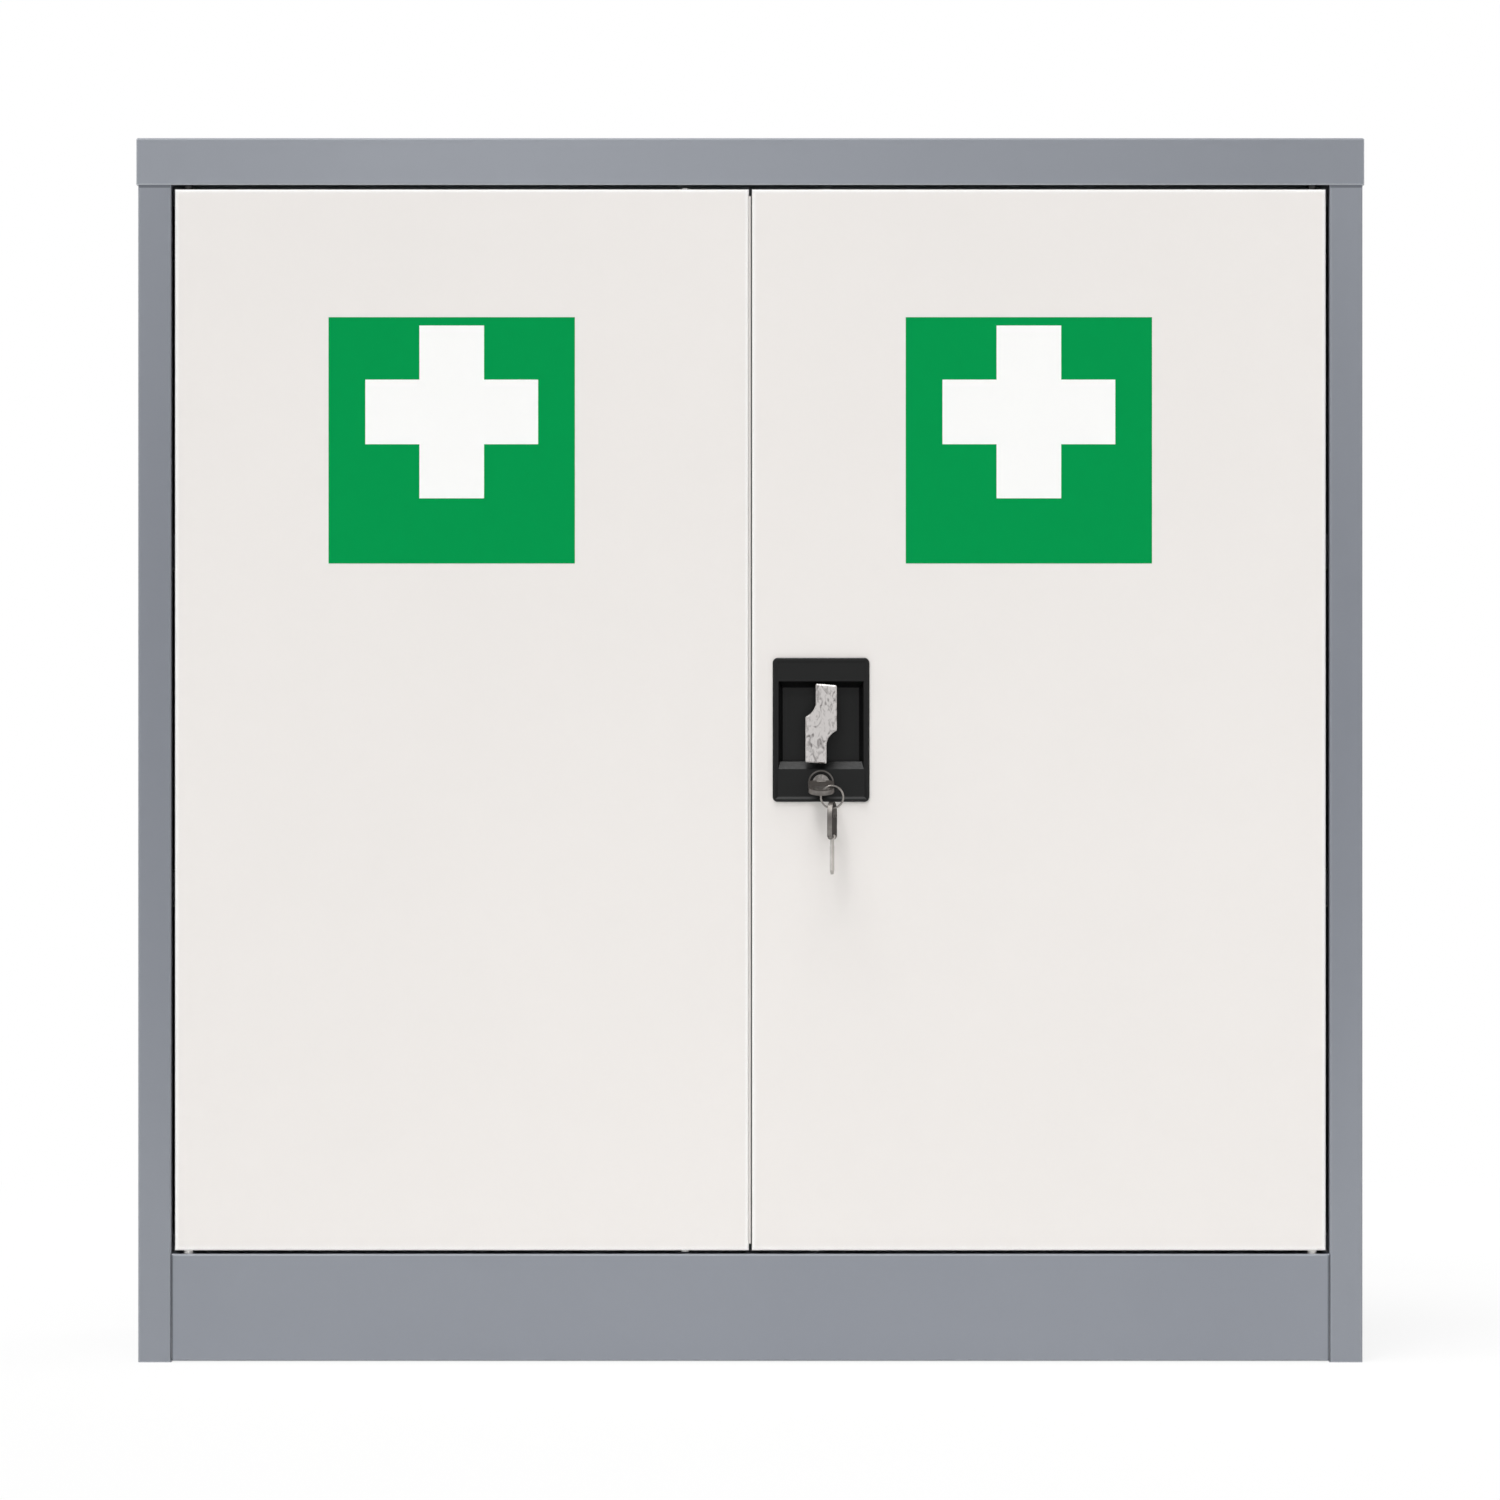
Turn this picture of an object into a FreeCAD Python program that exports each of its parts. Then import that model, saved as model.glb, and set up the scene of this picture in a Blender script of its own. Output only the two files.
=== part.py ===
import FreeCAD, Part
import math
import os

# A free-standing steel first aid cabinet with two doors, a recessed turn handle and a two-way rod lock.
# X runs to the right, Y to the back and Z up, in millimetres. The origin lies on the floor, in the middle.

V = FreeCAD.Vector
ORIGIN = V(0, 0, 0)
X_AXIS = V(1, 0, 0)
Y_AXIS = V(0, 1, 0)
Z_AXIS = V(0, 0, 1)

# Cabinet
cabinet_width = 900.0
cabinet_height = 900.0
cabinet_depth = 400.0
sheet = 0.8                   # steel sheet of the carcass and the doors
bend = 0.8                    # inner radius of each fold
seam = 0.3                    # between the edges of two sheets
overrun = 5.0                 # how far a cut runs past its piece
fit = 0.02                    # radial clearance of a piece that is pressed in
running = 0.05                # radial clearance of a piece that turns or slides

# Frame around the doors
cap_overhang = 1.25
apron_height = 34.4
stile_width = 24.3
stile_lip = 20.0
rear_flange = 18.0
plinth_height = 79.7
plinth_lift = 1.0
plinth_return = 20.0
floor_flange = 20.0
stop_height = 14.0            # lip that the doors close against, above and below

# Shelves and the slotted uprights that carry them
shelf_height = 25.0
shelf_lip = 14.0
shelf_setback = 45.0
shelf_gap = 1.0
upright_width = 25.0
upright_depth = 10.0
upright_setback = 72.0
upright_clear = 20.0
slot_pitch = 50.0
slot_start = 40.0
slot_height = 6.0
slot_width = 14.0
lower_shelf_share = 0.29
upper_shelf_share = 0.64
clip_sheet = 1.5
clip_width = 13.0
clip_reach = 12.0
clip_drop = 7.0

# Doors
side_gap = 2.75
top_gap = 3.4
bottom_gap = 2.6
centre_gap = 2.2
door_depth = 25.0
door_lip = 12.0
stiffener_width = 40.0
stiffener_height = 12.0
stiffener_foot = 14.0
stiffener_end_gap = 30.0
buffer_thickness = 3.0
buffer_size = 8.0
buffer_offset = 25.0
buffer_gap = 0.3
strip_width = 15.0            # closing strip on the left door's free edge
strip_setback = 0.5
strip_nose = 0.4
strip_thickness = 1.45
strip_end_gap = 5.0

# Door pivots
pivot_inset = 9.7
pivot_setback = 6.0
pin_radius = 2.25
pin_stand = 2.0
bush_radius = 3.3
bush_tail = 1.5
bracket_thickness = 3.0
bracket_length = 24.0
bracket_width = 16.0

# Bolts of the left door
bolt_offset = 48.0
bolt_setback = 14.0
bolt_radius = 4.0
bolt_length = 110.0
bolt_peep = 1.5               # how far a drawn bolt or rod still stands out of the door
bolt_clear = 0.6
thumb_radius = 2.5
thumb_length = 14.0
thumb_inset = 8.0
bolt_guide_width = 20.0
bolt_guide_height = 12.0
bolt_guide_wall = 3.0
bolt_guide_setback = 30.0

# Lock plate in the right door
lock_offset = 51.95
lock_height = 464.9
plate_width = 71.1
plate_height = 105.8
plate_corner = 3.7
plate_overlap = 2.5
plate_gap = 0.3
rim_proud = 2.0
rim_width = 3.8
rim_bevel = 0.8
rim_slope = 1.8               # inner side of the rim, down to the bands
band_drop = 0.8               # the flat bands lie this far below the rim
recess_width = 62.6
recess_depth = 10.0
recess_top_band = 17.2
recess_bottom_band = 24.1
recess_side_slope = 3.2
recess_top_slope = 4.6
recess_bottom_slope = 5.9
recess_bevel = 5.5               # the lower wall starts as a bevel this high
recess_bevel_depth = 4.5
pan_wall = 1.5
spindle_boss_radius = 9.0
spindle_boss = 2.0
back_plate_thickness = 1.5
back_plate_margin = 2.5

# Turn handle, spindle and crank
handle_rise = 4.5             # axis above the middle of the plate
handle_height = 58.6
handle_width = 22.9
handle_waist = 7.8            # between the two straight inner edges
handle_tip = 5.1
handle_notch = 14.4
handle_hollow = 1.5
handle_slant = 1.2
handle_thickness = 8.0
handle_round = 1.2
handle_bevel = 0.9
handle_gap = 0.4
neck_radius = 6.5
neck_gap = 0.3
spindle_radius = 4.0
spindle_bite = 5.0
washer_radius = 7.0
washer_thickness = 2.9
washer_gap = 0.1
crank_thickness = 2.0
crank_disc_radius = 12.2
crank_radius = 9.0            # from the axis to a crank pin
crank_rest_angle = 45.0
crank_pin_radius = 2.0
crank_pin_head_radius = 3.2
crank_pin_head = 1.2
lug_radius = 17.5
lug_start_angle = 198.0
lug_end_angle = 222.0

# Rods
rod_width = 13.0
rod_thickness = 2.0
rod_tail = 8.0
rod_tip_width = 6.0
rod_tip_length = 40.0
rod_taper = 6.0
layer_gap = 0.3
slot_play = 0.6
rod_clear = 0.5
keeper_clear = 1.0
guide_setback = 60.0
guide_height = 15.0
guide_wall = 3.0
guide_clear = 0.3

# Lock barrel and its plug
key_drop = 39.0               # axis below the middle of the plate
barrel_radius = 8.5
barrel_collar_radius = 9.5
barrel_collar = 1.4
barrel_face_radius = 8.3
barrel_face = 0.8
barrel_setback = 0.5
barrel_nut_size = 22.0
barrel_nut_thickness = 2.0
plug_radius = 6.2
plug_proud = 0.3
plug_tail_radius = 4.0
tongue_width = 7.0
tongue_root_radius = 7.0
tongue_gap = 0.5

# Folding keys and their ring
blade_width = 8.0
blade_thickness = 1.8
blade_length = 29.5
blade_inset = 18.0            # part of the inserted blade that is inside the plug
blade_point = 3.0
knuckle_radius = 2.0
knuckle_width = 6.0
knuckle_gap = 0.25
knuckle_pin_radius = 0.8
ear_width = 3.5
bow_width = 18.8
bow_length = 25.6
bow_thickness = 3.6
bow_corner = 9.2
bow_rim = 3.2
bow_front_rim = 3.5
bow_hole_length = 8.5
bow_hole_corner = 3.6
bow_droop_angle = 17.0
ring_radius = 8.2
ring_wire_radius = 0.7
ring_lift = 3.25              # from the bow's rim up to the wire that rests on it
ring_gap = 0.5
spare_turn_angle = 78.0       # the spare key hangs nearly edge on

# Places worked out from the sizes
half_width = cabinet_width / 2
droop = math.radians(bow_droop_angle)
ring_station = bow_length - bow_front_rim - bow_hole_length / 2
blade_stand = blade_length - blade_inset - knuckle_radius
key_face = rim_proud - band_drop + barrel_collar + barrel_face + plug_proud
hinge_reach = key_face + blade_stand
ring_reach = hinge_reach + ring_station * math.cos(droop)
spare_turn = math.radians(spare_turn_angle)
key_reach = ring_reach + bow_width / 2 * math.sin(spare_turn) + bow_thickness / 2 * math.cos(spare_turn)

front = (key_reach - cabinet_depth) / 2
back = front + cabinet_depth
side_back = back - cap_overhang
back_inner = side_back - 2 * sheet
wall_x = half_width - sheet
stile_x = half_width - stile_width
apron_bottom = cabinet_height - apron_height
stop_y = front + door_depth + buffer_gap + buffer_thickness
floor_z = plinth_height + stop_height
door_inner_y = front + sheet

web_x = wall_x - upright_depth
upright_height = apron_bottom - stop_height - upright_clear - floor_z
upright_places = [front + upright_setback, back_inner - upright_setback]
slot_count = int((upright_height - 2 * slot_start) / slot_pitch) + 1
slot_levels = [floor_z + slot_start + slot_pitch * index for index in range(slot_count)]
lower_slot = slot_levels[round(slot_count * lower_shelf_share)]
upper_slot = slot_levels[round(slot_count * upper_shelf_share)]

door_bottom = plinth_height + bottom_gap
door_top = apron_bottom - top_gap
door_height = door_top - door_bottom
door_inner_x = centre_gap / 2
door_outer_x = stile_x - side_gap
door_width = door_outer_x - door_inner_x
door_middle_x = (door_outer_x + door_inner_x) / 2
door_middle_z = (door_top + door_bottom) / 2
pivot_x = door_outer_x - pivot_inset
pivot_y = front + pivot_setback
bolt_y = front + bolt_setback

band_y = front - rim_proud + band_drop
recess_floor_y = front + recess_depth
boss_y = recess_floor_y - spindle_boss
pan_back = recess_floor_y + pan_wall
back_plate_rear = pan_back + back_plate_thickness
block_width = plate_width - 2 * (plate_overlap + plate_gap)
block_height = plate_height - 2 * (plate_overlap + plate_gap)
handle_z = lock_height + handle_rise
handle_back = front - rim_proud - handle_gap
crank_y = back_plate_rear + washer_gap + washer_thickness
crank_rear = crank_y + crank_thickness
crank_drop = crank_radius * math.sin(math.radians(crank_rest_angle))
pin_near = crank_radius * math.cos(math.radians(crank_rest_angle))
rod_y = crank_rear + layer_gap
rod_rear = rod_y + rod_thickness
rod_near = (pin_near + crank_radius) / 2 - rod_width / 2

key_z = lock_height - key_drop
barrel_rear = crank_y - barrel_setback
plug_face = front - key_face
hinge_y = front - hinge_reach
ring_y = front - ring_reach
rim_x = lock_offset + bow_width / 2 - bow_rim / 2
rim_z = key_z - ring_station * math.sin(droop)
ring_z = rim_z + ring_lift - ring_radius
wire_z = ring_z - ring_radius
spare_hinge_z = wire_z + ring_wire_radius + ring_gap + bow_front_rim - bow_length
tongue_length = handle_z - key_z - crank_disc_radius - tongue_gap


# Basic forms

def box(x0, x1, y0, y1, z0, z1):
    low = V(min(x0, x1), min(y0, y1), min(z0, z1))
    return Part.makeBox(abs(x1 - x0), abs(y1 - y0), abs(z1 - z0), low)


def rod_along_x(radius, y, z, x0, x1):
    return Part.makeCylinder(radius, x1 - x0, V(x0, y, z), X_AXIS)


def rod_along_y(radius, x, z, y0, y1):
    return Part.makeCylinder(radius, y1 - y0, V(x, y0, z), Y_AXIS)


def rod_along_z(radius, x, y, z0, z1):
    return Part.makeCylinder(radius, z1 - z0, V(x, y, z0), Z_AXIS)


def outline(points, y0, y1):
    corners = [V(x, y0, z) for x, z in points]
    return Part.Face(Part.makePolygon(corners + corners[:1])).extrude(V(0, y1 - y0, 0))


def rectangle(x0, x1, z0, z1, y):
    corners = [V(x0, y, z0), V(x1, y, z0), V(x1, y, z1), V(x0, y, z1)]
    return Part.makePolygon(corners + corners[:1])


def rounded_plate(x, z, width, height, corner, y0, y1):
    plate = box(x - width / 2, x + width / 2, y0, y1, z - height / 2, z + height / 2)
    corners = [edge for edge in plate.Edges if edge.BoundBox.YLength > (y1 - y0) / 2]
    return plate.makeFillet(corner, corners)


def mirrored(shape):
    return shape.mirror(ORIGIN, X_AXIS)


def group(shapes):
    return Part.makeCompound(shapes)


# Straight runs through the points, with an arc at each inner point whose radius isn't zero
def rounded_path(points, radii):
    edges = []
    start = points[0]
    for before, corner, after, radius in zip(points, points[1:], points[2:], radii):
        arriving = (corner - before).normalize()
        leaving = (after - corner).normalize()
        half_turn = arriving.getAngle(leaving) / 2
        reach = radius * math.tan(half_turn)
        arc_start = corner - arriving * reach
        arc_end = corner + leaving * reach
        inward = (leaving - arriving).normalize()
        middle = corner + inward * (radius / math.cos(half_turn) - radius)
        edges.append(Part.LineSegment(start, arc_start).toShape())
        if radius > 0:
            edges.append(Part.Arc(arc_start, middle, arc_end).toShape())
        start = arc_end
    edges.append(Part.LineSegment(start, points[-1]).toShape())
    return edges


# A sheet folded along the points and drawn out along the normal, with its thickness left of the path.
# Pieces that repeat have sharp folds, which keeps their faces few.
def folded(points, thickness, normal, length, sharp=False):
    runs = [(after - before).normalize() for before, after in zip(points, points[1:])]
    lefts = [normal.cross(run) for run in runs]
    other = [points[0] + lefts[0] * thickness]
    skin_radii = []
    other_radii = []
    for corner, run, next_run, left, next_left in zip(points[1:], runs, runs[1:], lefts, lefts[1:]):
        other.append(corner + (left + next_left) * (thickness / (1 + left.dot(next_left))))
        turns_left = run.cross(next_run).dot(normal) > 0
        inner, outer = (0, 0) if sharp else (bend, bend + thickness)
        skin_radii.append(outer if turns_left else inner)
        other_radii.append(inner if turns_left else outer)
    other.append(points[-1] + lefts[-1] * thickness)
    edges = rounded_path(points, skin_radii)
    edges.append(Part.LineSegment(points[-1], other[-1]).toShape())
    edges += rounded_path(other[::-1], other_radii[::-1])
    edges.append(Part.LineSegment(other[0], points[0]).toShape())
    return Part.Face(Part.Wire(edges)).extrude(normal * length)


# A bar along Y with its two lower edges rounded
def rounded_bar(width, length, depth, radius):
    start = -length / 2
    side = width / 2
    corners = [V(-side, start, depth), V(-side, start, 0), V(side, start, 0), V(side, start, depth)]
    edges = rounded_path(corners, [radius, radius])
    edges.append(Part.LineSegment(corners[-1], corners[0]).toShape())
    return Part.Face(Part.Wire(edges)).extrude(V(0, length, 0))


# Two bars crossed, so that the rounded edges meet in mitred corners
def rounded_block(width, height, depth, radius):
    crossing = rounded_bar(height, width, depth, radius)
    crossing.rotate(ORIGIN, Z_AXIS, 90)
    return rounded_bar(width, height, depth, radius).common(crossing)


# A folded tray that lies on its face at zero height, with a lip turned inwards around its rim
def pan(width, height, depth, lip):
    tray = rounded_block(width, height, depth, bend + sheet)
    hollow = rounded_block(width - 2 * sheet, height - 2 * sheet, depth - 2 * sheet, bend)
    hollow.translate(V(0, 0, sheet))
    mouth_x = width / 2 - lip
    mouth_y = height / 2 - lip
    mouth = box(-mouth_x, mouth_x, -mouth_y, mouth_y, depth / 2, depth + overrun)
    return tray.cut(hollow).cut(mouth)


# Carcass

def side_panel():
    path = [
        V(stile_x, front + stile_lip, 0),
        V(stile_x, front, 0),
        V(half_width, front, 0),
        V(half_width, side_back, 0),
        V(half_width - rear_flange, side_back, 0),
    ]
    panel = folded(path, sheet, Z_AXIS, cabinet_height - sheet - bend)
    apron_space = box(stile_x - overrun, half_width + overrun, front - overrun, front + stile_lip,
                      apron_bottom, cabinet_height)
    return panel.cut(apron_space)


def back_panel():
    edge = wall_x - bend
    return box(-edge, edge, back_inner, back_inner + sheet, plinth_lift, cabinet_height - sheet)


def keeper_slots(z, way):
    near = lock_offset + way * rod_near
    slots = [box(near - way * keeper_clear, near + way * (rod_tip_width + keeper_clear),
                 rod_y - keeper_clear, rod_rear + keeper_clear, z - overrun, z + overrun)]
    slots.append(rod_along_z(bolt_radius + keeper_clear, -bolt_offset, bolt_y, z - overrun, z + overrun))
    for x in (-pivot_x, pivot_x):
        slots.append(rod_along_z(bush_radius + running, x, pivot_y, z - overrun, z + overrun))
    return group(slots)


def top_panel():
    width = cabinet_width + 2 * cap_overhang
    cap = pan(width, cabinet_depth, apron_height, sheet)
    cap.rotate(ORIGIN, X_AXIS, 180)
    cap.translate(V(0, (front + back) / 2, cabinet_height))
    ledge_x = wall_x - seam
    path = [
        V(-ledge_x, front, apron_bottom),
        V(-ledge_x, stop_y, apron_bottom),
        V(-ledge_x, stop_y, apron_bottom - stop_height),
    ]
    ledge = folded(path, sheet, X_AXIS, 2 * ledge_x)
    return cap.fuse(ledge).removeSplitter().cut(keeper_slots(apron_bottom, 1))


def base_panel():
    edge = wall_x - seam
    path = [
        V(-edge, back_inner, floor_z - floor_flange),
        V(-edge, back_inner, floor_z),
        V(-edge, stop_y, floor_z),
        V(-edge, stop_y, plinth_height),
        V(-edge, front, plinth_height),
        V(-edge, front, plinth_lift),
        V(-edge, front + plinth_return, plinth_lift),
    ]
    panel = folded(path, sheet, X_AXIS, 2 * edge)
    notch_x = stile_x - seam
    notch = box(notch_x, half_width, front - overrun, front + stile_lip + seam, 0, floor_z)
    return panel.cut(group([notch, mirrored(notch)])).cut(keeper_slots(plinth_height, -1))


def upright(y):
    path = [
        V(wall_x, y + upright_width / 2, floor_z),
        V(web_x, y + upright_width / 2, floor_z),
        V(web_x, y - upright_width / 2, floor_z),
        V(wall_x, y - upright_width / 2, floor_z),
    ]
    strip = folded(path, sheet, Z_AXIS, upright_height, sharp=True)
    slots = [box(web_x - overrun, web_x + upright_depth / 2, y - slot_width / 2, y + slot_width / 2,
                 z, z + slot_height) for z in slot_levels]
    return strip.cut(group(slots))


def shelf(slot):
    width = 2 * (web_x - shelf_gap)
    shelf_front = front + shelf_setback
    shelf_back = back_inner - shelf_gap
    tray = pan(width, shelf_back - shelf_front, shelf_height, shelf_lip)
    tray.rotate(ORIGIN, X_AXIS, 180)
    tray.translate(V(0, (shelf_front + shelf_back) / 2, slot + clip_sheet + shelf_height))
    return tray


def shelf_clip(y, slot):
    start = y - clip_width / 2
    top = slot + clip_sheet
    hook_x = web_x + sheet + bend + clip_sheet
    path = [
        V(web_x - clip_reach, start, top),
        V(hook_x, start, top),
        V(hook_x, start, top - clip_drop),
    ]
    return folded(path, clip_sheet, Y_AXIS, clip_width, sharp=True)


def shelf_clips():
    clips = [shelf_clip(y, slot) for y in upright_places for slot in (lower_slot, upper_slot)]
    return group(clips + [mirrored(clip) for clip in clips])


def pivot_bush(low, high):
    body = rod_along_z(bush_radius, pivot_x, pivot_y, low, high)
    return body.cut(rod_along_z(pin_radius + running, pivot_x, pivot_y, low - overrun, high + overrun))


def pivot_bushes():
    lower = pivot_bush(plinth_height - sheet - bush_tail, door_bottom - running)
    upper = pivot_bush(door_top + running, apron_bottom + sheet + bush_tail)
    return group([lower, upper, mirrored(lower), mirrored(upper)])


def door_buffers():
    levels = [door_bottom + door_lip / 2, door_top - door_lip / 2]
    half = buffer_size / 2
    buffers = [box(buffer_offset - half, buffer_offset + half, stop_y - buffer_thickness, stop_y,
                   z - half, z + half) for z in levels]
    return group(buffers + [mirrored(rubber) for rubber in buffers])


# Doors

def door_blank():
    blank = pan(door_width, door_height, door_depth, door_lip)
    blank.rotate(ORIGIN, X_AXIS, -90)
    blank.translate(V(door_middle_x, front, door_middle_z))
    holes = [rod_along_z(pin_radius + running, pivot_x, pivot_y, z - overrun, z + overrun)
             for z in (door_bottom, door_top)]
    return blank.cut(group(holes))


def rod_hole(z, way):
    near = lock_offset + way * rod_near
    return box(near - way * rod_clear, near + way * (rod_tip_width + rod_clear),
               rod_y - rod_clear, rod_rear + rod_clear, z - overrun, z + overrun)


def right_door_panel():
    cut_x = plate_width / 2 - plate_overlap
    cut_z = plate_height / 2 - plate_overlap
    cutout = box(lock_offset - cut_x, lock_offset + cut_x, front - overrun, front + overrun,
                 lock_height - cut_z, lock_height + cut_z)
    return door_blank().cut(group([cutout, rod_hole(door_top, 1), rod_hole(door_bottom, -1)]))


def left_door_panel():
    holes = [rod_along_z(bolt_radius + bolt_clear, -bolt_offset, bolt_y, z - overrun, z + overrun)
             for z in (door_bottom, door_top)]
    return mirrored(door_blank()).cut(group(holes))


def door_stiffener():
    low = door_bottom + stiffener_end_gap
    left = door_middle_x - stiffener_width / 2
    right = door_middle_x + stiffener_width / 2
    path = [
        V(left - stiffener_foot, door_inner_y, low),
        V(left, door_inner_y, low),
        V(left, door_inner_y + stiffener_height, low),
        V(right, door_inner_y + stiffener_height, low),
        V(right, door_inner_y, low),
        V(right + stiffener_foot, door_inner_y, low),
    ]
    return folded(path, sheet, Z_AXIS, door_height - 2 * stiffener_end_gap, sharp=True)


def left_meeting_strip():
    edge = -door_inner_x
    low = door_bottom + strip_end_gap
    strip = box(edge, edge + strip_thickness, front + strip_setback, front + strip_setback + strip_width,
                low, door_top - strip_end_gap)
    nose = [line for line in strip.Edges
            if line.BoundBox.ZLength > strip_width and line.BoundBox.XMin > edge + strip_thickness / 2]
    return strip.makeFillet(strip_nose, nose)


def pivot_pins():
    reach = sheet + bracket_thickness + pin_stand
    tail = sheet + bush_tail
    lower = rod_along_z(pin_radius, pivot_x, pivot_y, plinth_height - tail, door_bottom + reach)
    upper = rod_along_z(pin_radius, pivot_x, pivot_y, door_top - reach, apron_bottom + tail)
    return group([lower, upper])


def pivot_brackets():
    brackets = []
    outer = door_outer_x - sheet - bend
    near = door_inner_y + bend
    for way, flange_z in ((1, door_bottom), (-1, door_top)):
        seat = flange_z + way * sheet
        plate = box(outer - bracket_length, outer, near, near + bracket_width,
                    seat, seat + way * bracket_thickness)
        hole = rod_along_z(pin_radius + fit, pivot_x, pivot_y, seat - overrun, seat + overrun)
        brackets.append(plate.cut(hole))
    return group(brackets)


def bolt(way):
    tip = door_top + bolt_peep if way > 0 else door_bottom - bolt_peep
    tail = tip - way * bolt_length
    bar = rod_along_z(bolt_radius, -bolt_offset, bolt_y, min(tip, tail), max(tip, tail))
    thumb = rod_along_y(thumb_radius, -bolt_offset, tail + way * thumb_inset, bolt_y, bolt_y + thumb_length)
    return bar.fuse(thumb).removeSplitter()


def left_bolt_guides():
    guides = []
    for way, door_edge in ((1, door_bottom), (-1, door_top)):
        near = door_edge + way * bolt_guide_setback
        block = box(-bolt_offset - bolt_guide_width / 2, -bolt_offset + bolt_guide_width / 2, door_inner_y,
                    bolt_y + bolt_radius + bolt_guide_wall, near, near + way * bolt_guide_height)
        bore = rod_along_z(bolt_radius + running, -bolt_offset, bolt_y, door_bottom, door_top)
        guides.append(block.cut(bore))
    return group(guides)


# Lock

def lock_recess():
    left = lock_offset - recess_width / 2
    right = lock_offset + recess_width / 2
    top = lock_height + plate_height / 2 - recess_top_band
    bottom = lock_height - plate_height / 2 + recess_bottom_band
    mouth = rectangle(left, right, bottom, top, band_y)
    bevel_share = recess_bevel_depth / (recess_floor_y - band_y)
    bevel_side = recess_side_slope * bevel_share
    bevel = rectangle(left + bevel_side, right - bevel_side, bottom + recess_bevel,
                      top - recess_top_slope * bevel_share, band_y + recess_bevel_depth)
    floor = rectangle(left + recess_side_slope, right - recess_side_slope,
                      bottom + recess_bottom_slope, top - recess_top_slope, recess_floor_y)
    return Part.makeLoft([mouth, bevel, floor], True, True)


def centred_rectangle(width, height, y):
    return rectangle(lock_offset - width / 2, lock_offset + width / 2,
                     lock_height - height / 2, lock_height + height / 2, y)


def lock_plate():
    rim = rounded_plate(lock_offset, lock_height, plate_width, plate_height, plate_corner,
                        front - rim_proud, front)
    front_edges = [edge for edge in rim.Edges if edge.BoundBox.YMax < front - rim_proud / 2]
    rim = rim.makeChamfer(rim_bevel, front_edges)
    inside_width = plate_width - 2 * rim_width
    inside_height = plate_height - 2 * rim_width
    bands = Part.makeLoft([
        centred_rectangle(inside_width, inside_height, band_y),
        centred_rectangle(inside_width + 2 * rim_slope, inside_height + 2 * rim_slope, front - rim_proud),
    ], True, True)
    block = box(lock_offset - block_width / 2, lock_offset + block_width / 2, front, pan_back,
                lock_height - block_height / 2, lock_height + block_height / 2)
    boss = rod_along_y(spindle_boss_radius, lock_offset, handle_z, boss_y, recess_floor_y)
    top_band = lock_height + plate_height / 2 - recess_top_band
    pocket_x = block_width / 2 - pan_wall
    pocket = box(lock_offset - pocket_x, lock_offset + pocket_x, band_y + pan_wall, pan_back + overrun,
                 top_band + pan_wall, lock_height + block_height / 2 - pan_wall)
    spindle_bore = rod_along_y(spindle_radius + running, lock_offset, handle_z, band_y, pan_back + overrun)
    barrel_bore = rod_along_y(barrel_radius + fit, lock_offset, key_z, band_y - overrun, pan_back + overrun)
    plate = rim.cut(bands).fuse(block).removeSplitter().cut(lock_recess())
    return plate.fuse(boss).removeSplitter().cut(group([pocket, spindle_bore, barrel_bore]))


def lock_back_plate():
    reach_x = block_width / 2 + back_plate_margin
    reach_z = block_height / 2 + back_plate_margin
    plate = box(lock_offset - reach_x, lock_offset + reach_x, pan_back, back_plate_rear,
                lock_height - reach_z, lock_height + reach_z)
    spindle_bore = rod_along_y(spindle_radius + running, lock_offset, handle_z, boss_y, crank_y)
    barrel_bore = rod_along_y(barrel_radius + fit, lock_offset, key_z, boss_y, crank_y)
    return plate.cut(group([spindle_bore, barrel_bore]))


def lock_barrel():
    collar_front = band_y - barrel_collar
    body = rod_along_y(barrel_radius, lock_offset, key_z, band_y, barrel_rear)
    collar = rod_along_y(barrel_collar_radius, lock_offset, key_z, collar_front, band_y)
    face = rod_along_y(barrel_face_radius, lock_offset, key_z, collar_front - barrel_face, collar_front)
    bore = rod_along_y(plug_radius + running, lock_offset, key_z, plug_face - overrun, crank_y)
    return body.fuse([collar, face]).removeSplitter().cut(bore)


def barrel_nut():
    corner = barrel_nut_size / math.sqrt(3)
    turns = [math.radians(60 * index) for index in range(6)]
    points = [(lock_offset + corner * math.cos(turn), key_z + corner * math.sin(turn)) for turn in turns]
    nut = outline(points, back_plate_rear, back_plate_rear + barrel_nut_thickness)
    return nut.cut(rod_along_y(barrel_radius + fit, lock_offset, key_z, pan_back, crank_y))


# Handle and crank

def handle_point(x, z):
    return V(lock_offset + x, handle_back, handle_z + z)


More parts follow.
